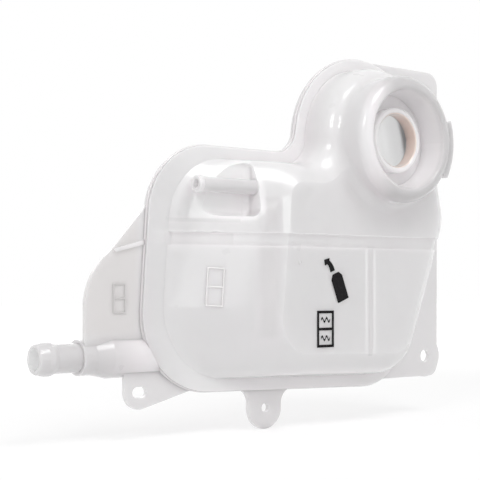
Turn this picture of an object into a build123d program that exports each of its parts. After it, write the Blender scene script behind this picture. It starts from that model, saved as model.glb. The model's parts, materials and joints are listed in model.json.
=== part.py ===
from build123d import *
import os
from math import cos, hypot, radians, sin, sqrt

# Coolant expansion tank: two moulded halves welded face to face on a flange.
# Millimetres, +Z up. The weld plane is Y = 0 and the filler neck faces -Y.
# The origin is the centre of the side bolt hole, on the weld plane.

# Walls
wall = 2.6
flange_thickness = 3.0
lip_width = 6.0

# Filler neck axis, the drum round it and the round tower that carries the drum
neck_x = -67.0
neck_z = 146.5
drum_radius = 41.5
tower_margin = 16.5
tower_radius = drum_radius + tower_margin
tower_lean = 13.0

# Outer edge of the welded lip
lip_left_low = -247.0
lip_left_high = -237.0
lip_bottom_left = -13.0
lip_bottom_right = -18.5
lip_top = 136.6
side_lean = 20.5
side_foot = -38.0
bottom_left_radius = 48.0
top_left_radius = 44.0
step_radius = 17.0
side_radius = 40.0
bottom_right_radius = 34.0

# Corner radii where the wall has rolled over into the outer face
face_bottom_left_radius = 22.0
face_top_left_radius = 10.0
face_step_radius = 24.0
face_side_radius = 24.0
face_bottom_right_radius = 14.0

# Depth of each half, the roll of its edge and the run of its slanting left side
front_depth = 30.0
front_roll = 15.0
front_run = 80.0
rear_depth = 22.0
rear_roll = 18.0
rear_run = 58.0
roll_steps = 3

# Waist groove round the front half
groove_low = 75.0
groove_height = 8.0
groove_depth = 0.9

# Filler housing: drum, rim, well and neck collar, with depths from the weld plane
drum_root = 7.0
rim_depth = 50.0
rim_width = 9.1
rim_round = 6.8
well_radius = drum_radius - rim_width
well_taper = 2.4
well_floor = 31.4
collar_radius = 21.5
collar_depth = 38.4
collar_bevel = 1.0
neck_bore = 17.6

# Raised stop on the drum's side
stop_height = 4.5
stop_low = 24.0
stop_high = 46.0
stop_from = -30.0
stop_to = 20.0

# Pocket with the bleed nipple
pocket_right = -171.0
pocket_low = 93.0
pocket_height = 35.0
pocket_back = 10.0
pocket_round = 5.0
nipple_rise = 18.5
nipple_depth = 16.0
nipple_radius = 4.6
nipple_bead_radius = 5.3
nipple_bead = 4.0
nipple_bore = 2.6
nipple_length = 44.0

# Hose stub: its reach from the lip, and lengths from its open end
stub_y = 8.0
stub_z = 9.0
stub_reach = 63.0
stub_root = 66.0
stub_radius = 8.6
stub_bore = 6.6
stub_nose = 1.5
stub_bead_radius = 9.9
stub_bead_lead = 6.0
stub_bead_crest = 3.0
stub_bead_tail = 3.0
stub_collar_radius = 10.5
stub_collar_at = 27.5
stub_collar_length = 8.5
stub_base_radius = 12.8
stub_base_at = 46.5
lip_clearance = 0.4

# Mounting ears
side_hole = 8.6
side_ear_radius = 15.0
plate_right = 12.8
plate_top_round = 10.0
plate_bottom = -14.5
plate_bottom_round = 8.0
centre_ear_x = -148.7
centre_ear_z = -27.8
centre_ear_radius = 13.4
centre_ear_root = 9.0
centre_hole = 5.8
slot_inset = 2.5
slot_z = -12.5
slot_width = 6.5
slot_length = 10.0
slot_ear_radius = 10.2
slot_ear_reach = 38.5

# Flat web above the hose stub, with reaches from the lip
web_top = 101.0
web_notch = 71.5
web_notch_reach = 16.5
web_shoulder = 67.0
web_shoulder_reach = 22.0
web_side = 38.0
web_reach = 34.5
web_radius = 42.0
web_rib_width = 2.4
web_rib_height = 1.2
web_rib_rise = 6.0

# Baffles inside the front half
baffle_wall = 2.0
baffle_z = 79.0
baffle_x = (-156.0, -76.0)
baffle_gap = 1.0

# Distance within which two points count as one
touch = 0.01


def between(start, end, share):
    """Value a given share of the way from start to end."""
    return start + (end - start) * share


def rounded(before, corner, after, radius):
    """Start, middle and end of the arc that rounds a corner."""
    inward = (before - corner).normalized()
    outward = (after - corner).normalized()
    half = radians(inward.get_angle(outward)) / 2
    bisector = (inward + outward).normalized()
    reach = radius * cos(half) / sin(half)
    middle = corner + bisector * (radius / sin(half) - radius)
    return corner + inward * reach, middle, corner + outward * reach


def meet(point_a, way_a, point_b, way_b):
    """Point where two lines cross."""
    gap = point_b - point_a
    turn = way_a.X * way_b.Y - way_a.Y * way_b.X
    return point_a + way_a * ((gap.X * way_b.Y - gap.Y * way_b.X) / turn)


def outline(inset, left_inset, roll):
    """Closed outline of the tank, moved in from the lip's edge; roll is 0 at the lip and 1 at the face."""
    top = lip_top - inset
    low_left = Vector(lip_left_low + left_inset, lip_bottom_left + inset)
    low_way = Vector(side_foot - lip_left_low, lip_bottom_right - lip_bottom_left)
    high_left = Vector(lip_left_high + left_inset, top)

    # The tower's arc starts where the concave step meets it and ends at the leaning side.
    arch = tower_radius - inset
    step = between(step_radius, face_step_radius, roll)
    neck = Vector(neck_x, neck_z)
    step_z = top + step
    step_x = neck_x - sqrt((arch + step) ** 2 - (step_z - neck_z) ** 2)
    step_centre = Vector(step_x, step_z)
    to_neck = (neck - step_centre).normalized()
    step_end = step_centre + to_neck * step
    step_start = Vector(step_x, top)
    step_middle = step_centre + ((step_start + step_end) * 0.5 - step_centre).normalized() * step
    lean = Vector(cos(radians(tower_lean)), sin(radians(tower_lean)))
    arch_end = neck + lean * arch
    arch_middle = neck + Vector(0, arch)

    # The side below the tower leans back in towards the bottom.
    side_way = Vector(sin(radians(side_lean)), cos(radians(side_lean)))
    side_base = Vector(side_foot, lip_bottom_right) + Vector(-side_way.Y, side_way.X) * inset
    low_right = meet(side_base, side_way, low_left, low_way)
    side_corner = meet(side_base, side_way, arch_end, Vector(lean.Y, -lean.X))

    corner_radius = (
        between(bottom_left_radius, face_bottom_left_radius, roll),
        between(top_left_radius, face_top_left_radius, roll),
        between(side_radius, face_side_radius, roll),
        between(bottom_right_radius, face_bottom_right_radius, roll),
    )
    bottom_left = rounded(low_right, low_left, high_left, corner_radius[0])
    top_left = rounded(low_left, high_left, step_start, corner_radius[1])
    side = rounded(arch_end, side_corner, low_right, corner_radius[2])
    bottom_right = rounded(side_corner, low_right, low_left, corner_radius[3])

    edges = [
        ThreePointArc(*bottom_left),
        Line(bottom_left[2], top_left[0]),
        ThreePointArc(*top_left),
        Line(top_left[2], step_start),
        ThreePointArc(step_start, step_middle, step_end),
        ThreePointArc(step_end, arch_middle, arch_end),
        Line(arch_end, side[0]),
        ThreePointArc(*side),
        Line(side[2], bottom_right[0]),
        ThreePointArc(*bottom_right),
        Line(bottom_right[2], bottom_left[0]),
    ]
    return make_face(edges)


def dish(depth, roll, run, skin, facing):
    """Half of the tank's volume, moved in by skin; facing is 1 for the front and -1 for the rear."""
    left_shift = skin * hypot(run, depth) / depth
    sections = []
    for step in range(roll_steps + 1):
        turn = radians(90 * step / roll_steps)
        rolled = 1 - cos(turn)
        at = (depth - skin) * sin(turn)
        inset = lip_width + skin + roll * rolled
        left_inset = lip_width + left_shift + run * at / depth
        plane = Plane.XZ.offset(facing * at)
        sections.append(plane * outline(inset, left_inset, rolled))
    return loft(sections)


def neck_plane(angle=0.0):
    """Plane through the neck axis with its local x along the radius and its local y along the depth."""
    turn = radians(angle)
    radial = (cos(turn), 0, sin(turn))
    return Plane(origin=(neck_x, 0, neck_z), x_dir=radial, z_dir=(sin(turn), 0, -cos(turn)))


def neck_axis():
    """Axis of the filler neck, pointing out of its mouth."""
    return Axis((neck_x, 0, neck_z), (0, -1, 0))


def slab(x_range, depth_range, z_range):
    """Box between two values along X, depth and Z."""
    x_low, x_high = x_range
    near, far = depth_range
    z_low, z_high = z_range
    centre = Pos((x_low + x_high) / 2, -(near + far) / 2, (z_low + z_high) / 2)
    return centre * Box(x_high - x_low, far - near, z_high - z_low)


def drum():
    """Filler housing: outer drum, rolled rim, well and the neck's collar, still closed at the bore."""
    floor_radius = well_radius - well_taper
    crest = drum_radius - rim_round
    inner_round = crest - well_radius
    slant = 1 - sin(radians(45))
    bevel_depth = collar_depth - collar_bevel
    edges = [
        Line((drum_radius, 0), (drum_radius, rim_depth - rim_round)),
        ThreePointArc(
            (drum_radius, rim_depth - rim_round),
            (drum_radius - rim_round * slant, rim_depth - rim_round * slant),
            (crest, rim_depth),
        ),
        ThreePointArc(
            (crest, rim_depth),
            (well_radius + inner_round * slant, rim_depth - inner_round * slant),
            (well_radius, rim_depth - inner_round),
        ),
        Polyline(
            (well_radius, rim_depth - inner_round),
            (floor_radius, well_floor),
            (collar_radius, well_floor),
            (collar_radius, bevel_depth),
            (collar_radius - collar_bevel, collar_depth),
            (0, collar_depth),
            (0, 0),
            (drum_radius, 0),
        ),
    ]
    return revolve(neck_plane() * make_face(edges), neck_axis())


def drum_hollow():
    """Space inside the drum, under the well's floor and up into the rim."""
    outside = drum_radius - wall
    inside = well_radius + wall
    roof = rim_depth - rim_round
    ceiling = well_floor - wall
    corners = [
        (outside, 0),
        (outside, roof),
        ((outside + inside) / 2, roof + (outside - inside) / 2),
        (inside, roof),
        (inside - well_taper, ceiling),
        (0, ceiling),
        (0, 0),
    ]
    return revolve(neck_plane() * make_face(Polyline(*corners, close=True)), neck_axis())


def neck_hole():
    """Bore of the filler neck with a bevelled mouth."""
    mouth = neck_bore + collar_bevel
    corners = [
        (0, 0),
        (neck_bore, 0),
        (neck_bore, collar_depth - collar_bevel),
        (mouth, collar_depth),
        (mouth, rim_depth),
        (0, rim_depth),
    ]
    return revolve(neck_plane() * make_face(Polyline(*corners, close=True)), neck_axis())


def is_drum_root(edge):
    """Whether an edge is where the drum stands on the front half's skin."""
    for share in (0, 0.5, 1):
        point = edge.position_at(share)
        radius = hypot(point.X - neck_x, point.Z - neck_z)
        if abs(radius - drum_radius) > touch or not touch < -point.Y < front_depth + touch:
            return False
    return True


def drum_stop():
    """Raised stop along part of the drum's side."""
    inside = drum_radius - wall / 2
    outside = drum_radius + stop_height
    corners = [(inside, stop_low), (outside, stop_low), (outside, stop_high), (inside, stop_high)]
    section = neck_plane(stop_from) * make_face(Polyline(*corners, close=True))
    return revolve(section, neck_axis(), revolution_arc=stop_to - stop_from)


def pocket(skin):
    """Recess for the bleed nipple, its walls moved out by skin."""
    far_left = lip_left_low - lip_width
    block = slab(
        (far_left, pocket_right + skin),
        (pocket_back - skin, rim_depth),
        (pocket_low - skin, pocket_low + pocket_height + skin),
    )
    right_edges = block.edges().filter_by(Axis.Y).sort_by(Axis.X)[-2:]
    back_edges = block.faces().sort_by(Axis.Y)[-1].edges()
    back_edges = back_edges.sort_by(Axis.X)[1:]
    return fillet(right_edges + back_edges, pocket_round + skin)


def waist_groove():
    """Shallow band cut into the front half's skin."""
    band = slab(
        (lip_left_low, plate_right),
        (flange_thickness, front_depth + wall),
        (groove_low, groove_low + groove_height),
    )
    return band - dish(front_depth, front_roll, front_run, groove_depth, 1)


def tube(centre_y, centre_z, profile):
    """Solid turned about an axis along X from (x, radius) points."""
    start = Vector(0, centre_y, centre_z)
    first, last = profile[0][0], profile[-1][0]
    section = make_face(Polyline(*profile, (last, 0), (first, 0), close=True))
    plane = Plane(origin=start, x_dir=(1, 0, 0), z_dir=(0, -1, 0))
    return revolve(plane * section, Axis(start, (1, 0, 0)))


def nipple():
    """Bleed nipple with a bead at its end and a bore, as the tube and the hole through it."""
    end = pocket_right - nipple_length
    root = pocket_right + wall
    chamfer = nipple_bead_radius - nipple_radius
    profile = [
        (end, nipple_radius),
        (end + chamfer, nipple_bead_radius),
        (end + nipple_bead - chamfer, nipple_bead_radius),
        (end + nipple_bead, nipple_radius),
        (root, nipple_radius),
    ]
    bore = [(end, nipple_bore), (root + pocket_round, nipple_bore)]
    z = pocket_low + nipple_rise
    return tube(-nipple_depth, z, profile), tube(-nipple_depth, z, bore)


def baffles():
    """Slosh walls inside the front half, before they are trimmed to the hollow."""
    depth = (baffle_gap, rim_depth)
    half = baffle_wall / 2
    shapes = [slab((lip_left_low, plate_right), depth, (baffle_z - half, baffle_z + half))]
    for x in baffle_x:
        shapes.append(slab((x - half, x + half), depth, (lip_bottom_right, baffle_z)))
    shapes.append(slab((baffle_x[0] - half, baffle_x[0] + half), depth, (baffle_z, lip_top)))
    return shapes


def front_shell():
    """Front half: neck housing, bleed nipple, slanting left side and slosh walls."""
    skin = dish(front_depth, front_roll, front_run, 0, 1) + drum()
    skin = fillet(skin.edges().filter_by(is_drum_root), drum_root)
    skin -= waist_groove()
    skin += drum_stop()
    skin += extrude(Plane.XZ * outline(0, 0, 0), flange_thickness)
    skin -= pocket(0)
    hollow = dish(front_depth, front_roll, front_run, wall, 1) + drum_hollow()
    hollow -= pocket(wall)
    shell = skin - hollow - neck_hole()
    for wall_blank in baffles():
        shell += wall_blank & hollow
    spout, bore = nipple()
    return shell + spout - bore


def front_lip_room():
    """Room that the rear half keeps free round the front half's lip."""
    return extrude(Plane.XZ * outline(-lip_clearance, -lip_clearance, 0), stub_base_radius)


def web_rib():
    """Low rib across the web, from its notch to the lip."""
    notch = Vector(lip_left_low - web_notch_reach + web_rib_width, web_notch)
    lip = Vector(lip_left_high, web_notch + web_rib_rise)
    ends = [Pos(place) * Circle(web_rib_width / 2) for place in (notch, lip)]
    section = make_hull(ends[0].edges() + ends[1].edges())
    return extrude(Plane.XZ * section, web_rib_height) - front_lip_room()


def is_ear_root(vertex):
    """Whether a corner of the plate is where the centre ear meets the lip's bottom edge."""
    on_side = abs(abs(vertex.X - centre_ear_x) - centre_ear_radius) < touch
    return on_side and vertex.Y > centre_ear_z + touch


def mounting_plate():
    """Flange of the rear half with its ears, web and holes."""
    plate = outline(0, 0, 0)
    top = neck_z + tower_radius
    width = plate_right - neck_x
    side = Pos(neck_x + width / 2, (top + plate_bottom) / 2) * Rectangle(width, top - plate_bottom)
    side = fillet(side.vertices().group_by(Axis.X)[-1].sort_by(Axis.Y)[-1], plate_top_round)
    side = fillet(side.vertices().group_by(Axis.X)[-1].sort_by(Axis.Y)[0], plate_bottom_round)
    plate += side
    plate += Circle(side_ear_radius)

    ear_height = lip_bottom_left + lip_width - centre_ear_z
    ear = Circle(centre_ear_radius)
    ear += Pos(0, ear_height / 2) * Rectangle(2 * centre_ear_radius, ear_height)
    plate += Pos(centre_ear_x, centre_ear_z) * ear
    roots = plate.vertices().filter_by(is_ear_root)
    plate = fillet(roots, centre_ear_root)

    slot_x = lip_left_low + slot_inset
    reach_x = slot_x + slot_ear_reach
    slot_ear = Pos(slot_x, slot_z) * Circle(slot_ear_radius)
    reach = Polyline(
        (slot_x - slot_ear_radius, stub_z),
        (reach_x, lip_bottom_left),
        (reach_x, stub_z),
        close=True,
    )
    plate += make_hull(slot_ear.edges() + reach.edges())

    top = (lip_left_high, web_top)
    notch = (lip_left_low - web_notch_reach, web_notch)
    shoulder = (lip_left_low - web_shoulder_reach, web_shoulder)
    side = (lip_left_low - web_reach, web_side)
    foot = (lip_left_low - web_reach, stub_z)
    root = (lip_left_high, stub_z)
    web_edges = [
        Polyline(top, notch, shoulder),
        RadiusArc(shoulder, side, -web_radius),
        Polyline(side, foot, root, top),
    ]
    plate += make_face(web_edges)

    plate -= Circle(side_hole / 2)
    plate -= Pos(centre_ear_x, centre_ear_z) * Circle(centre_hole / 2)
    plate -= Pos(slot_x, slot_z) * SlotOverall(slot_length, slot_width)
    return extrude(Plane.XZ * plate, -flange_thickness)


def stub():
    """Hose stub with a bead, a hose stop and a tapered root, as the tube and the hole through it."""
    end = lip_left_low - stub_reach
    root = lip_left_low + stub_root
    crest = end + stub_bead_lead
    collar = end + stub_collar_at
    profile = [
        (end, stub_radius),
        (crest, stub_bead_radius),
        (crest + stub_bead_crest, stub_bead_radius),
        (crest + stub_bead_crest + stub_bead_tail, stub_radius),
        (collar, stub_radius),
        (collar, stub_collar_radius),
        (collar + stub_collar_length, stub_collar_radius),
        (end + stub_base_at, stub_base_radius),
        (root, stub_base_radius),
    ]
    bore = [(end, stub_bore), (root, stub_bore)]
    body = tube(stub_y, stub_z, profile)
    body = fillet(body.faces().sort_by(Axis.X)[0].edges(), stub_nose)
    return body - front_lip_room(), tube(stub_y, stub_z, bore)


def rear_shell():
    """Rear half: dish, mounting plate and hose stub, which stays clear of the front half's lip."""
    hose_end, bore = stub()
    shell = dish(rear_depth, rear_roll, rear_run, 0, -1)
    shell += mounting_plate()
    shell += web_rib()
    shell += hose_end
    shell -= dish(rear_depth, rear_roll, rear_run, wall, -1)
    return shell - bore


def main():
    """Write one STEP file for each half."""
    os.makedirs("parts", exist_ok=True)
    export_step(front_shell(), "parts/front_shell.step")
    export_step(rear_shell(), "parts/rear_shell.step")


main()
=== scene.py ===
import json
import logging
from dataclasses import dataclass, field
from enum import Enum
from math import cos, pi, radians, sin

import bpy
from mathutils import Euler, Matrix, Quaternion, Vector

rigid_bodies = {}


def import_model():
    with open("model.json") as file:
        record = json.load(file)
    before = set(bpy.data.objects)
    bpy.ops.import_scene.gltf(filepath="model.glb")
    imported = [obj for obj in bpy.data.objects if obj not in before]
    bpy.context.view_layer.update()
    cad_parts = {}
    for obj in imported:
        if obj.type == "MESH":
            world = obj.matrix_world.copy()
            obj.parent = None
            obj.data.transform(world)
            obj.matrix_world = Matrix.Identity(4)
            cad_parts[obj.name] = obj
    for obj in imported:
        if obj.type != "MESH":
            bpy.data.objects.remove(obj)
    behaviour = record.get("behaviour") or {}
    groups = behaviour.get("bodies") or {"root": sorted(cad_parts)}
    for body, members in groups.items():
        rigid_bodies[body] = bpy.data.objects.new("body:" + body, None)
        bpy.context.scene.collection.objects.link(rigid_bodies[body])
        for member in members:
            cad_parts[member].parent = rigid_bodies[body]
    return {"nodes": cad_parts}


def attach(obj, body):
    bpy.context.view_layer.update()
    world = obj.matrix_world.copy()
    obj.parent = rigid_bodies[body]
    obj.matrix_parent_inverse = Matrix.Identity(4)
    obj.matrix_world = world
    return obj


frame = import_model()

LOG = logging.getLogger("coolant_tank")
MM = 0.001
IMAGE_PIXELS = 480
SCREEN_WHITE = 255
SCREEN_KNEE = 0.04045
SCREEN_SLOPE = 12.92
SCREEN_OFFSET = 0.055
SCREEN_GAMMA = 2.4
MIX_FIRST, MIX_SECOND, MIX_RESULT = 6, 7, 2
WHITE = (1.0, 1.0, 1.0)
Socket = bpy.types.NodeSocket
Colour = tuple[float, float, float]
Point = tuple[float, float]
Point3 = tuple[float, float, float]
Value = Socket | float | Colour


class Half(Enum):
    """The two moulded halves of the tank, by node name."""

    FRONT = "front_shell"
    REAR = "rear_shell"


class Slot(Enum):
    """Material slots of the record."""

    PLASTIC = "natural_plastic"


class LightShape(Enum):
    """Outlines of the studio's soft lights."""

    SQUARE = "SQUARE"
    PANEL = "RECTANGLE"


def srgb(red: int, green: int, blue: int) -> Colour:
    """Turns a screen colour into linear light.

    Args:
        red: Red, 0 to 255.
        green: Green, 0 to 255.
        blue: Blue, 0 to 255.

    Returns:
        The colour as three linear values.
    """
    linear = []
    for value in (red, green, blue):
        share = value / SCREEN_WHITE
        if share <= SCREEN_KNEE:
            linear.append(share / SCREEN_SLOPE)
        else:
            linear.append(((share + SCREEN_OFFSET) / (1 + SCREEN_OFFSET)) ** SCREEN_GAMMA)
    return linear[0], linear[1], linear[2]


class Nodes:
    """A material's or world's node tree, with short calls to add to it."""

    def __init__(self, tree: bpy.types.NodeTree) -> None:
        """Empties the tree and keeps it.

        Args:
            tree: The node tree to fill.
        """
        self.tree = tree
        tree.nodes.clear()

    def add(self, kind: str, **inputs: Value) -> bpy.types.Node:
        """Adds a node and sets or links its inputs.

        Args:
            kind: Blender's name of the node type.
            **inputs: Values or output sockets, by the input's name with _ for a space.

        Returns:
            The new node.
        """
        node = self.tree.nodes.new(kind)
        for name, value in inputs.items():
            self.feed(node.inputs[name.replace("_", " ")], value)
        return node

    def feed(self, socket: Socket, value: Value) -> None:
        """Links an output socket to an input, or writes a value on it.

        Args:
            socket: The input socket.
            value: An output socket, a number or a colour.
        """
        if isinstance(value, bpy.types.NodeSocket):
            self.tree.links.new(value, socket)
        elif isinstance(value, tuple) and socket.type == "RGBA":
            socket.default_value = (*value, 1.0)
        else:
            socket.default_value = value

    def math(self, operation: str, first: Value, second: Value = 0.0) -> Socket:
        """Adds a sum of one or two values.

        Args:
            operation: Blender's name of the sum.
            first: First value or socket.
            second: Second value or socket.

        Returns:
            The result's socket.
        """
        node = self.tree.nodes.new("ShaderNodeMath")
        node.operation = operation
        self.feed(node.inputs[0], first)
        self.feed(node.inputs[1], second)
        return node.outputs[0]

    def flip(self, value: Socket) -> Socket:
        """Adds a value's opposite."""
        return self.math("MULTIPLY", value, -1.0)

    def shift(self, base: Value, share: Socket, change: Value) -> Socket:
        """Adds a value that leaves a base by a share of a change.

        Args:
            base: Value or socket where the share is 0.
            share: Mask of the change.
            change: What is added where the mask is 1.

        Returns:
            The value's socket.
        """
        return self.math("ADD", self.math("MULTIPLY", share, change), base)

    def overlap(self, *masks: Socket) -> Socket:
        """Adds the mask of what several masks share.

        Args:
            *masks: The masks.

        Returns:
            The shared mask's socket.
        """
        shared = masks[0]
        for mask in masks[1:]:
            shared = self.math("MULTIPLY", shared, mask)
        return shared

    def ramp(self, value: Socket, low: float, high: float) -> Socket:
        """Adds a smooth step from 0 at low to 1 at high.

        Args:
            value: The socket that is stepped.
            low: Value that gives 0.
            high: Value that gives 1.

        Returns:
            The step's socket.
        """
        node = self.add("ShaderNodeMapRange", Value=value, From_Min=low, From_Max=high)
        node.interpolation_type = "SMOOTHSTEP"
        return node.outputs["Result"]

    def fall(self, value: Socket, low: float, high: float) -> Socket:
        """Adds a smooth step from 1 at low to 0 at high."""
        return self.math("SUBTRACT", 1.0, self.ramp(value, low, high))

    def near(self, value: Socket, centre: float, flat: float, fade: float) -> Socket:
        """Adds a mask that is 1 near a value and fades to 0 away from it.

        Args:
            value: The socket that is compared.
            centre: Middle of the mask.
            flat: Half width that stays at 1.
            fade: Width of the fade on each side.

        Returns:
            The mask's socket.
        """
        away = self.math("ABSOLUTE", self.math("SUBTRACT", value, centre))
        return self.fall(away, flat, flat + fade)

    def distance(self, first: Socket, second: Socket, centre: Point) -> Socket:
        """Adds the distance from an axis.

        Args:
            first: First coordinate across the axis.
            second: Second coordinate across the axis.
            centre: The axis's place in both.

        Returns:
            The distance's socket.
        """
        squares = []
        for value, middle in zip((first, second), centre):
            side = self.math("SUBTRACT", value, middle)
            squares.append(self.math("MULTIPLY", side, side))
        return self.math("SQRT", self.math("ADD", *squares))

    def mix(self, share: Socket, first: Value, second: Value) -> Socket:
        """Adds a mix of two colours.

        Args:
            share: Share of the second colour.
            first: First colour or socket.
            second: Second colour or socket.

        Returns:
            The mixed colour's socket.
        """
        node = self.add("ShaderNodeMix", Factor=share)
        node.data_type = "RGBA"
        self.feed(node.inputs[MIX_FIRST], first)
        self.feed(node.inputs[MIX_SECOND], second)
        return node.outputs[MIX_RESULT]

    def noise(self, place: Socket, scale: float, detail: float) -> Socket:
        """Adds a noise pattern.

        Args:
            place: Coordinates it is read at.
            scale: Its scale, in waves a metre.
            detail: Its detail.

        Returns:
            The noise's value socket.
        """
        return self.add("ShaderNodeTexNoise", Vector=place, Scale=scale, Detail=detail).outputs[0]


def new_material(name: str) -> tuple[bpy.types.Material, Nodes]:
    """Makes an empty material.

    Args:
        name: Its name.

    Returns:
        The material and its nodes.
    """
    material = bpy.data.materials.new(name)
    material.use_nodes = True
    return material, Nodes(material.node_tree)


@dataclass(frozen=True)
class Spot:
    """Object coordinates of the shaded point, whole and taken apart; forward is minus depth."""

    place: Socket
    across: Socket
    depth: Socket
    height: Socket
    forward: Socket

    @classmethod
    def of(cls, nodes: Nodes) -> "Spot":
        """Adds the nodes that give the coordinates.

        Args:
            nodes: The material's nodes.

        Returns:
            The coordinates' sockets.
        """
        place = nodes.add("ShaderNodeTexCoord").outputs["Object"]
        axes = nodes.add("ShaderNodeSeparateXYZ", Vector=place).outputs
        return cls(place, axes[0], axes[1], axes[2], nodes.flip(axes[1]))


@dataclass(frozen=True)
class Streak:
    """An upright or level band of the front skin, in millimetres."""

    across: Point
    height: Point
    fade: float = 1.2

    def mask(self, nodes: Nodes, spot: Spot) -> Socket:
        """Adds a mask of the band.

        Args:
            nodes: The material's nodes.
            spot: The shaded point.

        Returns:
            The mask's socket.
        """
        sides = []
        for socket, (low, high) in ((spot.across, self.across), (spot.height, self.height)):
            middle, half = (low + high) / 2 * MM, (high - low) / 2 * MM
            sides.append(nodes.near(socket, middle, half, self.fade * MM))
        return nodes.overlap(*sides)


@dataclass(frozen=True)
class NaturalPlastic:
    """Milky natural polypropylene, tinted where it is thick, with painted shade and painted light
    in places.
    """

    name: str = "natural_plastic"

    # Tones of the skin, and of its parts; the rim, well and band tones are painted shade.
    pale: Colour = srgb(254, 249, 251)
    deep: Colour = srgb(250, 244, 247)
    warm: Colour = srgb(213, 210, 210)
    flange: Colour = srgb(217, 215, 216)
    # Painted shade: the rim's right side, turned away from the light.
    painted_rim_shade: Colour = srgb(201, 199, 200)
    bore: Colour = srgb(246, 229, 221)
    # Painted shade for the well.
    well_shade: Colour = srgb(240, 238, 239)
    # Painted shade for the dark bands.
    band_shade: Colour = srgb(238, 235, 236)
    nipple: Colour = srgb(233, 231, 232)

    # Surface. Waves are a noise's scale and detail.
    roughness: float = 0.3
    rough_span: float = 0.12
    rough_waves: Point = (60.0, 3.0)
    cloud_waves: Point = (14.0, 3.0)
    cloud_span: Point = (0.35, 0.7)
    swell_waves: Point = (34.0, 2.0)
    grain_waves: Point = (900.0, 2.0)
    grain_share: float = 0.012
    bump: float = 0.12
    bump_height: float = 1.2 * MM
    index: float = 1.49
    coat: float = 0.8
    coat_roughness: float = 0.06

    # How far light spreads in the wall, with the share of each colour. Shorter distances lighten
    # the pocket's floor, the well and the waist groove as painted light against their shade, and
    # the pale bands as painted highlights.
    spread: Point3 = (0.965, 1.0, 0.98)
    milk: float = 8 * MM
    rear_milk: float = 200 * MM
    pocket_milk: float = 1 * MM
    lip_milk: float = 5 * MM
    neck_milk: float = 3.5 * MM
    stub_milk: float = 30 * MM
    stub_skin: float = 5.5 * MM
    highlight_milk: float = 3 * MM
    waist_milk: float = 5.5 * MM

    # Widths over which one part fades into the next.
    soft_edge: float = 1.0 * MM
    firm_edge: float = 0.5 * MM
    crisp_edge: float = 0.4 * MM

    # Rear dish, plate, web and lip.
    rear_span: Point = (4.0 * MM, 8.0 * MM)
    rear_side: Point = (-215.0 * MM, -190.0 * MM)
    rear_facing: Point = (0.02, 0.15)
    plate_depth: Point = (1.5 * MM, 2.0 * MM)
    web_side: Point = (-249.0 * MM, -243.0 * MM)
    web_height: Point = (16.0 * MM, 26.0 * MM)
    lip_depth: Point = (-2.6 * MM, 2.0 * MM)
    lip_side: Point = (-235.0 * MM, -205.0 * MM)

    # Pocket, whose floor takes painted light, and bleed nipple.
    pocket_middle: Point3 = (-193.0 * MM, -10.0 * MM, 110.5 * MM)
    pocket_half: Point3 = (23.0 * MM, 2.0 * MM, 18.5 * MM)
    nipple_axis: Point = (-16.0 * MM, 111.5 * MM)
    nipple_radius: float = 5.4 * MM
    nipple_span: Point = (-194.0 * MM, 23.0 * MM)

    # Filler housing: its rim, whose right side takes painted shade, its well, which takes painted
    # shade in its tone and painted light in its scatter, its neck and its hollow.
    rim_shade_span: Point = (34.0 * MM, 46.0 * MM)
    rim_shade_side: Point = (-108.0 * MM, -78.0 * MM)
    neck: Point = (-67.0 * MM, 146.5 * MM)
    neck_radius: float = 17.9 * MM
    neck_span: Point = (28.0 * MM, 38.0 * MM)
    well_radius: float = 33.0 * MM
    well_depth: Point = (24.0 * MM, 28.0 * MM)
    chamber_radius: float = 41.0 * MM
    chamber_depth: Point = (-8.0 * MM, 18.5 * MM)

    # Hose stub.
    stub_axis: Point = (8.0 * MM, 9.0 * MM)
    stub_wall: Point = (6.7 * MM, 7.2 * MM)
    stub_reach: float = 13.0 * MM
    stub_fade: Point = (-275.0 * MM, -225.0 * MM)
    stub_side: Point = (-262.0 * MM, -250.0 * MM)

    # Bands of the front skin: dark ones are painted shade where the inside walls show through,
    # under the pocket and in the waist groove; pale ones are painted highlights; the waist bands
    # lighten the groove, painted light against its shade.
    front_span: Point = (2.0 * MM, 4.0 * MM)
    shade_bands: tuple[Streak, ...] = (
        Streak((-228.0, -188.0), (76.5, 81.5), 1.5),
        Streak((-166.0, -162.0), (86.0, 103.0), 4.0),
        Streak((-169.0, -165.0), (22.0, 72.0), 7.0),
        Streak((-85.0, -82.5), (5.0, 75.0)),
        Streak((-226.0, -184.0), (89.8, 90.8)),
    )
    highlight_bands: tuple[Streak, ...] = (
        Streak((-157.0, -153.0), (84.0, 106.0)),
        Streak((-170.5, -168.5), (95.0, 122.0)),
        Streak((-88.0, -87.0), (5.0, 74.0), 0.8),
        Streak((-80.5, -79.5), (5.0, 74.0), 0.8),
    )
    waist: tuple[Streak, ...] = (
        Streak((-236.0, -29.0), (74.8, 83.2), 0.8),
        Streak((-236.0, -29.0), (82.2, 83.2), 0.6),
    )

    def material(self) -> bpy.types.Material:
        """Builds the finish.

        Returns:
            The new material.
        """
        material, nodes = new_material(self.name)
        spot = Spot.of(nodes)
        rough = nodes.noise(spot.place, *self.rough_waves)
        swell = nodes.noise(spot.place, *self.swell_waves)
        grain = nodes.noise(spot.place, *self.grain_waves)
        bump = nodes.add(
            "ShaderNodeBump",
            Strength=self.bump,
            Distance=self.bump_height,
            Height=nodes.shift(swell, grain, self.grain_share),
        )
        shader = nodes.add(
            "ShaderNodeBsdfPrincipled",
            Base_Color=self.bore_colour(nodes, spot, self.body_colour(nodes, spot)),
            Roughness=nodes.shift(self.roughness - self.rough_span / 2, rough, self.rough_span),
            IOR=self.index,
            Normal=bump.outputs[0],
            Coat_Weight=self.coat,
            Coat_Roughness=self.coat_roughness,
            Subsurface_Weight=1.0,
            Subsurface_Radius=self.spread,
            Subsurface_Scale=self.scatter(nodes, spot),
        )
        nodes.add("ShaderNodeOutputMaterial", Surface=shader.outputs[0])
        return material

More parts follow.
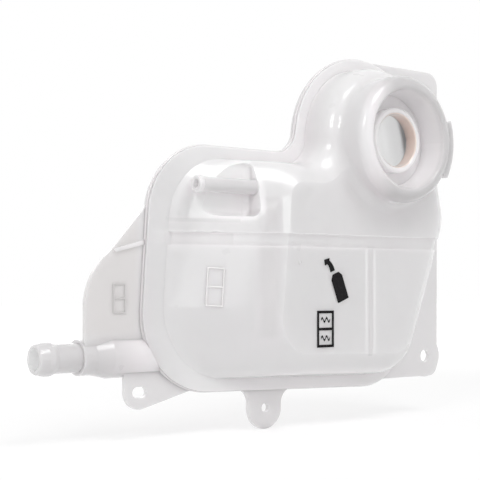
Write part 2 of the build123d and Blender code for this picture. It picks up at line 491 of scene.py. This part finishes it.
    def scatter(self, nodes: Nodes, spot: Spot) -> Socket | float:
        """Adds how far light spreads in the wall, part by part, with shorter distances as painted
        light in the pocket, the well and the waist groove and as painted highlights in the pale
        bands.

        Args:
            nodes: The material's nodes.
            spot: The shaded point.

        Returns:
            The distance's socket.
        """
        milk = self.milk
        lip = nodes.near(spot.depth, *self.lip_depth, self.firm_edge)
        lip = nodes.overlap(lip, nodes.ramp(spot.across, *self.lip_side))
        # Painted highlights: the pale bands scatter less and come out lighter.
        pale = self.streaks(nodes, spot, self.highlight_bands)
        far = nodes.shift(milk, self.inside(nodes, spot), self.rear_milk - milk)
        # Painted light on the pocket's floor, against its shade.
        far = nodes.shift(far, self.in_pocket(nodes, spot), self.pocket_milk - milk)
        far = nodes.shift(far, pale, self.highlight_milk - milk)
        # Painted light in the waist groove, against its shade.
        for band in self.waist:
            groove = self.streaks(nodes, spot, (band,))
            far = nodes.shift(far, groove, self.waist_milk - milk)
        # Painted light in the well, against its shade.
        far = nodes.shift(far, self.in_well(nodes, spot), self.neck_milk - milk)
        far = nodes.shift(far, lip, self.lip_milk - milk)
        return self.stub_scatter(nodes, spot, far)

    def stub_scatter(self, nodes: Nodes, spot: Spot, far: Socket) -> Socket:
        """Adds the hose stub's own distances, one for its bore and one for its outside.

        Args:
            nodes: The material's nodes.
            spot: The shaded point.
            far: The distance on the rest of the tank.

        Returns:
            The distance's socket.
        """
        radius = nodes.distance(spot.depth, spot.height, self.stub_axis)
        outside = nodes.ramp(radius, *self.stub_wall)
        change = nodes.shift(self.stub_milk - self.milk, outside, self.stub_skin - self.stub_milk)
        beyond = nodes.fall(spot.across, *self.stub_side)
        within = nodes.fall(radius, self.stub_reach, self.stub_reach + self.soft_edge)
        return nodes.shift(far, nodes.overlap(beyond, within), change)

    def inside(self, nodes: Nodes, spot: Spot) -> Socket:
        """Adds a mask of the rear dish's inside and of the filler housing's hollow.

        Args:
            nodes: The material's nodes.
            spot: The shaded point.

        Returns:
            The mask's socket.
        """
        normal = nodes.add("ShaderNodeNewGeometry").outputs["Normal"]
        facing = nodes.flip(nodes.add("ShaderNodeSeparateXYZ", Vector=normal).outputs[1])
        dish = nodes.overlap(
            nodes.ramp(spot.depth, *self.rear_span),
            nodes.ramp(spot.across, *self.rear_side),
            nodes.ramp(facing, *self.rear_facing),
        )
        radius = nodes.distance(spot.across, spot.height, self.neck)
        hollow = nodes.overlap(
            nodes.fall(radius, self.chamber_radius, self.chamber_radius + self.crisp_edge),
            nodes.near(spot.depth, *self.chamber_depth, self.soft_edge),
        )
        return nodes.math("MAXIMUM", dish, hollow)

    def in_pocket(self, nodes: Nodes, spot: Spot) -> Socket:
        """Adds a mask of the pocket's floor.

        Args:
            nodes: The material's nodes.
            spot: The shaded point.

        Returns:
            The mask's socket.
        """
        axes = (spot.across, spot.depth, spot.height)
        sides = []
        for value, middle, half in zip(axes, self.pocket_middle, self.pocket_half):
            sides.append(nodes.near(value, middle, half, self.soft_edge))
        return nodes.overlap(*sides)

    def in_well(self, nodes: Nodes, spot: Spot) -> Socket:
        """Adds a mask of the well round the neck.

        Args:
            nodes: The material's nodes.
            spot: The shaded point.

        Returns:
            The mask's socket.
        """
        radius = nodes.distance(spot.across, spot.height, self.neck)
        within = nodes.fall(radius, self.well_radius - self.soft_edge, self.well_radius)
        return nodes.overlap(within, nodes.ramp(spot.forward, *self.well_depth))

    def streaks(self, nodes: Nodes, spot: Spot, bands: tuple[Streak, ...]) -> Socket:
        """Adds one mask of several bands on the front half.

        Args:
            nodes: The material's nodes.
            spot: The shaded point.
            bands: The bands.

        Returns:
            The mask's socket.
        """
        mask = bands[0].mask(nodes, spot)
        for band in bands[1:]:
            mask = nodes.math("MAXIMUM", mask, band.mask(nodes, spot))
        return nodes.overlap(mask, nodes.ramp(spot.forward, *self.front_span))

    def body_colour(self, nodes: Nodes, spot: Spot) -> Socket:
        """Adds the skin's tone: cloudy, warmer on the web, with painted shade on the rim's right
        side, in the well and in bands over the inside walls, under the pocket and in the waist
        groove.

        Args:
            nodes: The material's nodes.
            spot: The shaded point.

        Returns:
            The colour's socket.
        """
        cloud = nodes.ramp(nodes.noise(spot.place, *self.cloud_waves), *self.cloud_span)
        colour = nodes.mix(cloud, self.pale, self.deep)
        plate = nodes.near(spot.depth, *self.plate_depth, self.firm_edge)
        on_stub = nodes.fall(spot.across, *self.stub_fade)
        colour = nodes.mix(nodes.math("MAXIMUM", plate, on_stub), colour, self.flange)
        on_web = nodes.fall(spot.across, *self.web_side)
        above_stub = nodes.ramp(spot.height, *self.web_height)
        colour = nodes.mix(nodes.overlap(on_web, plate, above_stub), colour, self.warm)
        # Painted shade on the rim's right side, which faces away from the light.
        painted_rim_shade = nodes.ramp(spot.forward, *self.rim_shade_span)
        painted_rim_shade = nodes.overlap(painted_rim_shade, nodes.ramp(spot.across, *self.rim_shade_side))
        colour = nodes.mix(painted_rim_shade, colour, self.painted_rim_shade)
        # Painted shade in the well.
        colour = nodes.mix(self.in_well(nodes, spot), colour, self.well_shade)
        radius = nodes.distance(spot.depth, spot.height, self.nipple_axis)
        tube = nodes.fall(radius, self.nipple_radius, self.nipple_radius + self.crisp_edge)
        tube = nodes.overlap(tube, nodes.near(spot.across, *self.nipple_span, self.soft_edge))
        colour = nodes.mix(tube, colour, self.nipple)
        # Painted shade in the dark bands: over the inside walls, under the pocket and in the waist
        # groove.
        return nodes.mix(self.streaks(nodes, spot, self.shade_bands), colour, self.band_shade)

    def bore_colour(self, nodes: Nodes, spot: Spot, colour: Socket) -> Socket:
        """Adds the warm tone that the thick wall of the neck's bore has.

        Args:
            nodes: The material's nodes.
            spot: The shaded point.
            colour: The skin's tone.

        Returns:
            The colour's socket.
        """
        start, end = self.neck_span
        radius = nodes.distance(spot.across, spot.height, self.neck)
        within = nodes.fall(radius, self.neck_radius, self.neck_radius + self.firm_edge)
        low = nodes.ramp(spot.forward, start - self.firm_edge, start)
        high = nodes.fall(spot.forward, end, end + self.firm_edge)
        return nodes.mix(nodes.overlap(within, low, high), colour, self.bore)


@dataclass(frozen=True)
class ThinPlastic(NaturalPlastic):
    """The same plastic on low raised pieces, too thin for light to spread in them."""

    name: str = "thin_plastic"
    pale: Colour = srgb(236, 233, 234)
    deep: Colour = srgb(232, 229, 230)
    milk: float = 0.2 * MM

    def scatter(self, nodes: Nodes, spot: Spot) -> float:
        """Gives one distance all over."""
        return self.milk


@dataclass(frozen=True)
class PrintInk:
    """Matt black ink of the pad-printed marks, slightly broken over the moulding's grain."""

    name: str = "print_ink"
    dark: Colour = srgb(20, 18, 20)
    worn: Colour = srgb(36, 33, 35)
    worn_waves: Point = (700.0, 4.0)
    worn_span: Point = (0.45, 0.75)
    roughness: float = 0.6
    specular: float = 0.15
    grain_waves: Point = (2600.0, 2.0)
    bump: float = 0.1
    bump_height: float = 0.1 * MM

    def material(self) -> bpy.types.Material:
        """Builds the finish.

        Returns:
            The new material.
        """
        material, nodes = new_material(self.name)
        place = nodes.add("ShaderNodeTexCoord").outputs["Object"]
        patch = nodes.ramp(nodes.noise(place, *self.worn_waves), *self.worn_span)
        grain = nodes.add(
            "ShaderNodeBump",
            Strength=self.bump,
            Distance=self.bump_height,
            Height=nodes.noise(place, *self.grain_waves),
        )
        shader = nodes.add(
            "ShaderNodeBsdfPrincipled",
            Base_Color=nodes.mix(patch, self.dark, self.worn),
            Roughness=self.roughness,
            Specular_IOR_Level=self.specular,
            Normal=grain.outputs[0],
        )
        nodes.add("ShaderNodeOutputMaterial", Surface=shader.outputs[0])
        return material


class Bench:
    """Modelling calls that the pieces share."""

    @staticmethod
    def clear() -> None:
        """Deselects everything."""
        bpy.ops.object.select_all(action="DESELECT")

    @staticmethod
    def pick(piece: bpy.types.Object) -> None:
        """Selects one piece alone and makes it active.

        Args:
            piece: The piece.
        """
        Bench.clear()
        piece.select_set(True)
        bpy.context.view_layer.objects.active = piece

    @staticmethod
    def plate(name: str, corners: list[Point]) -> bpy.types.Object:
        """Makes a flat plate facing -Y by extruding from one corner round its outline.

        Args:
            name: The piece's name.
            corners: Outline in metres, as X and Z.

        Returns:
            The plate, a single face at Y = 0, in edit mode.
        """
        Bench.clear()
        bpy.ops.mesh.primitive_plane_add(size=MM)
        piece = bpy.context.object
        piece.name = name
        piece.data.name = name
        bpy.ops.object.mode_set(mode="EDIT")
        bpy.ops.mesh.select_all(action="SELECT")
        bpy.ops.mesh.merge(type="CENTER")
        before = corners[0]
        bpy.ops.transform.translate(value=(before[0], 0, before[1]))
        for corner in corners[1:]:
            step = (corner[0] - before[0], 0, corner[1] - before[1])
            bpy.ops.mesh.extrude_region_move(TRANSFORM_OT_translate={"value": step})
            before = corner
        bpy.ops.mesh.select_all(action="SELECT")
        bpy.ops.mesh.edge_face_add()
        return piece

    @staticmethod
    def panels(name: str, size: Point, line: float) -> None:
        """Makes a flat frame of two open panels, one over the other, and stays in edit mode.

        It lies at Y = 0 with its lower left corner at zero.

        Args:
            name: The piece's name.
            size: Width and height, in millimetres.
            line: Width of its bars, in millimetres.
        """
        width, height = size[0] * MM, size[1] * MM
        middle = height / 2
        outline = [(0, 0), (width, 0), (width, middle)]
        outline += [(width, height), (0, height), (0, middle)]
        piece = Bench.plate(name, outline)
        bpy.ops.mesh.select_all(action="DESELECT")
        bpy.ops.object.mode_set(mode="OBJECT")
        for vertex in piece.data.vertices:
            vertex.select = abs(vertex.co.z - middle) < line / 4 * MM
        bpy.ops.object.mode_set(mode="EDIT")
        bpy.ops.mesh.vert_connect()
        bpy.ops.mesh.select_all(action="SELECT")
        bpy.ops.mesh.inset(thickness=line / 2 * MM)
        bpy.ops.mesh.inset(thickness=line / 2 * MM, use_individual=True)
        bpy.ops.mesh.delete(type="FACE")

    @staticmethod
    def thicken(thickness: float, place: Matrix) -> bpy.types.Object:
        """Extrudes the plate that is in edit mode towards -Y and sets it in its place.

        Args:
            thickness: How far it stands out.
            place: Where its flat back goes.

        Returns:
            The finished piece, back in object mode.
        """
        piece = bpy.context.object
        bpy.ops.mesh.select_all(action="SELECT")
        bpy.ops.mesh.extrude_region_move(TRANSFORM_OT_translate={"value": (0, -thickness, 0)})
        bpy.ops.mesh.select_all(action="SELECT")
        bpy.ops.mesh.normals_make_consistent(inside=False)
        bpy.ops.object.mode_set(mode="OBJECT")
        piece.data.transform(place)
        piece.data.update()
        return piece

    @staticmethod
    def finish(piece: bpy.types.Object, material: bpy.types.Material, slot: Slot | None) -> None:
        """Gives a piece its material and its body.

        Args:
            piece: The piece.
            material: Its finish.
            slot: Not used.
        """
        piece.data.materials.clear()
        piece.data.materials.append(material)
        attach(piece, "root")
        LOG.info("%s: %d faces", piece.name, len(piece.data.polygons))


@dataclass
class TankShells:
    """The two halves that come with the frame."""

    finish: NaturalPlastic = field(default_factory=NaturalPlastic)

    def dress(self) -> None:
        """Gives both halves their plastic."""
        material = self.finish.material()
        for half in Half:
            shell = frame["nodes"][half.value]
            shell.data.materials.clear()
            shell.data.materials.append(material)
            LOG.info("%s dressed", half.value)


@dataclass
class WeldBead:
    """Rounded bead of plastic squeezed out along the seam between the two halves."""

    radius: float = 0.9 * MM
    section: float = -1.5 * MM
    seam: float = -0.3 * MM
    merge_gap: float = 0.001 * MM
    straight_angle: float = 0.5
    round_steps: int = 3

    def build(self, plastic: bpy.types.Material) -> None:
        """Makes the bead: a section through the front half's lip, swept with a round.

        Args:
            plastic: Finish of thin raised plastic.
        """
        shell = frame["nodes"][Half.FRONT.value]
        piece = bpy.data.objects.new("weld_bead", shell.data.copy())
        piece.data.name = "weld_bead"
        bpy.context.scene.collection.objects.link(piece)
        Bench.pick(piece)
        bpy.ops.object.mode_set(mode="EDIT")
        bpy.ops.mesh.select_mode(type="VERT")
        bpy.ops.mesh.select_all(action="SELECT")
        bpy.ops.mesh.remove_doubles(threshold=self.merge_gap)
        bpy.ops.mesh.select_all(action="SELECT")
        bpy.ops.mesh.bisect(
            plane_co=(0, self.section, 0), plane_no=(0, 1, 0), clear_inner=True, clear_outer=True
        )
        self.keep_outer(piece)
        bpy.ops.mesh.select_all(action="SELECT")
        bpy.ops.mesh.dissolve_limited(angle_limit=radians(self.straight_angle))
        bpy.ops.mesh.select_all(action="SELECT")
        bpy.ops.transform.translate(value=(0, self.seam - self.section, 0))
        bpy.ops.object.mode_set(mode="OBJECT")
        bpy.ops.object.convert(target="CURVE")
        piece.data.bevel_depth = self.radius
        piece.data.bevel_resolution = self.round_steps
        bpy.ops.object.convert(target="MESH")
        bpy.ops.object.shade_smooth()
        Bench.finish(piece, plastic, Slot.PLASTIC)

    @staticmethod
    def keep_outer(piece: bpy.types.Object) -> None:
        """Deletes every loop of the section but the lip's outer edge.

        Args:
            piece: The section, in edit mode.
        """
        bpy.ops.mesh.select_all(action="DESELECT")
        bpy.ops.object.mode_set(mode="OBJECT")
        min(piece.data.vertices, key=lambda vertex: vertex.co.x).select = True
        bpy.ops.object.mode_set(mode="EDIT")
        bpy.ops.mesh.select_linked()
        bpy.ops.mesh.select_all(action="INVERT")
        bpy.ops.mesh.delete(type="VERT")


@dataclass
class MouldedMarks:
    """Low bare frames moulded on the slanting left side and the web, and the gate nub."""

    rise: float = 0.45 * MM
    sunk: float = 0.15 * MM
    line: float = 1.1
    soft_width: float = 0.25 * MM
    soft_steps: int = 2
    side_centre: Point3 = (-199.3, -14.1, 49.8)
    side_slope: Point3 = (80.0, -30.0, 0.0)
    side_up: Point3 = (10.0, 0.0, 133.6)
    side_size: Point = (11.3, 24.0)
    web_centre: Point3 = (-258.4, 0.0, 43.1)
    web_along: Point3 = (1.0, 0.0, 0.0)
    web_up: Point3 = (0.0, 0.0, 1.0)
    web_size: Point = (8.9, 18.0)
    nub_centre: Point3 = (-145.1, -30.0, 65.3)
    nub_radius: float = 1.0
    nub_sides: int = 16

    def build(self, plastic: bpy.types.Material) -> None:
        """Makes the frames and the nub.

        Args:
            plastic: Finish of thin raised plastic.
        """
        for piece in (self.side_frame(), self.web_frame(), self.nub()):
            Bench.finish(piece, plastic, Slot.PLASTIC)

    def frame_on(
        self, name: str, size: Point, centre: Point3, along: Point3, upward: Point3
    ) -> bpy.types.Object:
        """Makes a bare two-panel frame on a flat part of the tank.

        Args:
            name: The piece's name.
            size: Its width and height, in millimetres.
            centre: Its middle on the surface, in millimetres.
            along: Direction of its width.
            upward: Direction of its height.

        Returns:
            The frame.
        """
        Bench.panels(name, size, self.line)
        bpy.ops.mesh.select_all(action="SELECT")
        bpy.ops.transform.translate(value=(-size[0] / 2 * MM, self.sunk, -size[1] / 2 * MM))
        up = Vector(upward).normalized()
        inward = up.cross(Vector(along)).normalized()
        level = inward.cross(up).normalized()
        turn = Matrix((level, inward, up)).transposed().to_4x4()
        place = Matrix.Translation(Vector(centre) * MM) @ turn
        piece = Bench.thicken(self.rise + self.sunk, place)
        soften = piece.modifiers.new("soften", "BEVEL")
        soften.width = self.soft_width
        soften.segments = self.soft_steps
        Bench.pick(piece)
        bpy.ops.object.modifier_apply(modifier=soften.name)
        return piece

    def side_frame(self) -> bpy.types.Object:
        """Makes the frame on the slanting left side."""
        place = (self.side_centre, self.side_slope, self.side_up)
        return self.frame_on("moulded_side_frame", self.side_size, *place)

    def web_frame(self) -> bpy.types.Object:
        """Makes the frame on the web."""
        place = (self.web_centre, self.web_along, self.web_up)
        return self.frame_on("moulded_web_frame", self.web_size, *place)

    def nub(self) -> bpy.types.Object:
        """Makes the small round nub where the plastic entered the mould.

        Returns:
            The nub.
        """
        outline = []
        for side in range(self.nub_sides):
            angle = 2 * pi * side / self.nub_sides
            outline.append((self.nub_radius * MM * cos(angle), self.nub_radius * MM * sin(angle)))
        Bench.plate("moulded_gate_nub", outline)
        bpy.ops.mesh.select_all(action="SELECT")
        bpy.ops.transform.translate(value=(0, self.sunk, 0))
        place = Matrix.Translation(Vector(self.nub_centre) * MM)
        return Bench.thicken(self.rise + self.sunk, place)


@dataclass
class PrintedMarks:
    """Plain black marks printed on the front face: a bent arrow, a tag and a level sign."""

    face: float = -30.0 * MM
    thickness: float = 0.14 * MM
    sunk: float = 0.04 * MM
    tag_centre: Point = (-111.6, 49.8)
    tag_size: Point = (9.9, 18.8)
    tag_cut: Point = (2.2, 3.0)
    tag_lean: float = 21.5
    tag_round: float = 0.5 * MM
    tag_steps: int = 3
    arrow_root: Point = (-117.5, 59.7)
    arrow_outline: tuple[Point, ...] = (
        (-1.9, -0.7), (1.9, 0.7), (0.6, 3.5), (-1.0, 5.4), (-2.9, 6.9), (-2.7, 8.5),
        (-7.4, 7.3), (-6.6, 3.6), (-4.7, 4.6), (-3.5, 3.4), (-2.6, 1.6),
    )
    arrow_round: float = 0.3 * MM
    arrow_steps: int = 2
    sign_low: Point = (-130.8, 11.4)
    sign_size: Point = (14.3, 23.3)
    line: float = 1.7
    waves: int = 2
    wave_height: float = 1.3
    wave_steps: int = 8
    wave_line: float = 0.8
    wave_rows: tuple[tuple[str, float], ...] = (("upper", 0.75), ("lower", 0.25))
    finish: PrintInk = field(default_factory=PrintInk)

    def on_face(self, centre: Point, lean: float = 0.0) -> Matrix:
        """Places a mark on the front face.

        Args:
            centre: X and Z of the mark's own zero, in millimetres.
            lean: Turn to the left, in degrees.

        Returns:
            The mark's place.
        """
        place = Matrix.Translation((centre[0] * MM, self.face + self.sunk, centre[1] * MM))
        return place @ Matrix.Rotation(radians(-lean), 4, "Y")

    def build(self) -> None:
        """Makes all the marks."""
        ink = self.finish.material()
        for piece in (self.tag(), self.arrow(), self.sign(), *self.level_waves()):
            Bench.finish(piece, ink, None)

    def tag(self) -> bpy.types.Object:
        """Makes the tag: a slim plate with its upper corners cut off.

        Returns:
            The tag.
        """
        half, high = self.tag_size[0] / 2 * MM, self.tag_size[1] / 2 * MM
        across, down = self.tag_cut[0] * MM, self.tag_cut[1] * MM
        outline = [(-half, -high), (half, -high), (half, high - down), (half - across, high)]
        outline += [(across - half, high), (-half, high - down)]
        Bench.plate("printed_tag", outline)
        bpy.ops.mesh.bevel(offset=self.tag_round, segments=self.tag_steps, affect="VERTICES")
        return Bench.thicken(self.thickness, self.on_face(self.tag_centre, self.tag_lean))

    def arrow(self) -> bpy.types.Object:
        """Makes the bent arrow above the tag.

        Returns:
            The arrow.
        """
        Bench.plate("printed_arrow", [(x * MM, z * MM) for x, z in self.arrow_outline])
        bpy.ops.mesh.bevel(offset=self.arrow_round, segments=self.arrow_steps, affect="VERTICES")
        return Bench.thicken(self.thickness, self.on_face(self.arrow_root))

    def sign(self) -> bpy.types.Object:
        """Makes the level sign's frame: two open panels, one over the other."""
        Bench.panels("printed_level_sign", self.sign_size, self.line)
        return Bench.thicken(self.thickness, self.on_face(self.sign_low))

    def level_waves(self) -> list[bpy.types.Object]:
        """Makes the wave inside each panel of the sign.

        Returns:
            The two waves.
        """
        width, height = self.sign_size
        margin = 2 * self.line
        length = width - 2 * margin
        thick = self.line * self.wave_line
        steps = self.wave_steps * self.waves
        crest = []
        for step in range(steps + 1):
            share = step / steps
            rise = self.wave_height * sin(2 * pi * self.waves * share)
            crest.append((length * share * MM, rise * MM))
        foot = [(x, z - thick * MM) for x, z in reversed(crest)]
        pieces = []
        for name, share in self.wave_rows:
            Bench.plate(f"printed_wave_{name}", crest + foot)
            low = (self.sign_low[0] + margin, self.sign_low[1] + height * share + thick / 2)
            pieces.append(Bench.thicken(self.thickness, self.on_face(low)))
        return pieces


@dataclass(frozen=True)
class Lamp:
    """A soft light: its place in metres, its power in watts and its roll in degrees."""

    name: str
    place: Point3
    power: float
    size: Point
    shape: LightShape = LightShape.SQUARE
    roll: float = 0.0

    def shine(self, target: Point3) -> None:
        """Adds the light, pointed at a target.

        Args:
            target: What it points at.
        """
        light = bpy.data.lights.new(self.name, "AREA")
        light.energy = self.power
        light.shape = self.shape.value
        light.size = self.size[0]
        if self.shape is LightShape.PANEL:
            light.size_y = self.size[1]
        holder = bpy.data.objects.new(self.name, light)
        holder.location = self.place
        aim = (Vector(target) - Vector(self.place)).to_track_quat("-Z", "Y")
        holder.rotation_euler = (aim @ Quaternion((0, 0, 1), radians(self.roll))).to_euler()
        bpy.context.scene.collection.objects.link(holder)


@dataclass
class Studio:
    """Pale floor, soft lights and the camera."""

    floor_level: float = -41.3 * MM
    floor_size: float = 8.0
    floor_plain: float = 0.87
    floor_catch: float = 0.42
    glow_near: float = 0.61
    glow_far: float = 0.85
    glow_span: Point = (0.3, 1.0)
    sky: float = 0.64
    bounces: int = 16
    eye: Point3 = (-0.616, -0.572, 0.051)
    azimuth: float = 38.0
    focal_pixels: float = 1150.0
    horizon_row: float = 285.0
    sensor: float = 36.0
    target: Point3 = (-0.13, 0.0, 0.08)
    lamps: tuple[Lamp, ...] = (
        Lamp("key", (-1.5, -0.8, 1.0), 5.0, (0.5, 0.5)),
        Lamp("window", (-0.31, -1.75, 0.22), 0.5, (0.14, 0.5), LightShape.PANEL, -16.0),
        Lamp("top", (-0.15, -0.9, 1.35), 6.0, (0.7, 0.7)),
        Lamp("back", (-0.1, 1.1, 0.3), 3.0, (1.0, 1.0)),
    )

    def build(self) -> None:
        """Makes the floor, the background, the lights and the camera."""
        bpy.context.scene.cycles.diffuse_bounces = self.bounces
        bpy.context.scene.cycles.max_bounces = self.bounces
        self.floor()
        self.background()
        for lamp in self.lamps:
            lamp.shine(self.target)
        self.camera()

    def camera(self) -> None:
        """Makes the camera at the photograph's angle, level, with its horizon below the middle."""
        lens = bpy.data.cameras.new("camera")
        lens.sensor_width = self.sensor
        lens.lens = self.focal_pixels / IMAGE_PIXELS * self.sensor
        lens.shift_y = (self.horizon_row - IMAGE_PIXELS / 2) / IMAGE_PIXELS
        lens.dof.use_dof = False
        holder = bpy.data.objects.new("camera", lens)
        holder.location = self.eye
        holder.rotation_euler = Euler((pi / 2, 0, -radians(self.azimuth)))
        bpy.context.scene.collection.objects.link(holder)
        bpy.context.scene.camera = holder

    @staticmethod
    def seen(nodes: Nodes) -> Socket:
        """Adds a mask of the rays that show the backdrop: direct, mirrored and passed through.

        Args:
            nodes: The nodes it is added to.

        Returns:
            The mask's socket.
        """
        path = nodes.add("ShaderNodeLightPath").outputs
        mirrored = nodes.math("MAXIMUM", path["Is Glossy Ray"], path["Is Transmission Ray"])
        return nodes.math("MAXIMUM", path["Is Camera Ray"], mirrored)

    def background(self) -> None:
        """Makes a white background that lights the tank at a plain level."""
        world = bpy.data.worlds.new("studio")
        world.use_nodes = True
        bpy.context.scene.world = world
        nodes = Nodes(world.node_tree)
        strength = nodes.shift(self.sky, self.seen(nodes), 1.0 - self.sky)
        shade = nodes.add("ShaderNodeBackground", Color=WHITE, Strength=strength)
        nodes.add("ShaderNodeOutputWorld", Surface=shade.outputs[0])

    def floor(self) -> None:
        """Makes the pale floor, which keeps the tank's soft shadow."""
        Bench.clear()
        bpy.ops.mesh.primitive_plane_add(size=self.floor_size, location=(0, 0, self.floor_level))
        floor = bpy.context.object
        floor.name = "studio_floor"
        material, nodes = new_material("studio_floor")
        plain = nodes.add("ShaderNodeBsdfDiffuse", Color=(self.floor_plain,) * 3)
        catch = nodes.add("ShaderNodeBsdfDiffuse", Color=(self.floor_catch,) * 3)
        place = nodes.add("ShaderNodeTexCoord").outputs["Object"]
        away = nodes.add("ShaderNodeVectorMath", Vector=place)
        away.operation = "LENGTH"
        far = nodes.ramp(away.outputs["Value"], *self.glow_span)
        strength = nodes.shift(self.glow_near, far, self.glow_far - self.glow_near)
        glow = nodes.add("ShaderNodeEmission", Color=WHITE, Strength=strength)
        both = nodes.add("ShaderNodeAddShader")
        nodes.feed(both.inputs[0], catch.outputs[0])
        nodes.feed(both.inputs[1], glow.outputs[0])
        shown = nodes.add("ShaderNodeMixShader", Fac=self.seen(nodes))
        nodes.feed(shown.inputs[1], plain.outputs[0])
        nodes.feed(shown.inputs[2], both.outputs[0])
        nodes.add("ShaderNodeOutputMaterial", Surface=shown.outputs[0])
        floor.data.materials.append(material)


def main() -> None:
    """Builds the pieces in order and reports each one."""
    logging.basicConfig(level=logging.INFO, format="%(name)s %(message)s")
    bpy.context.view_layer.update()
    bpy.context.scene.view_settings.view_transform = "Standard"
    TankShells().dress()
    thin = ThinPlastic().material()
    WeldBead().build(thin)
    MouldedMarks().build(thin)
    PrintedMarks().build()
    Studio().build()


if __name__ == "__main__":
    main()
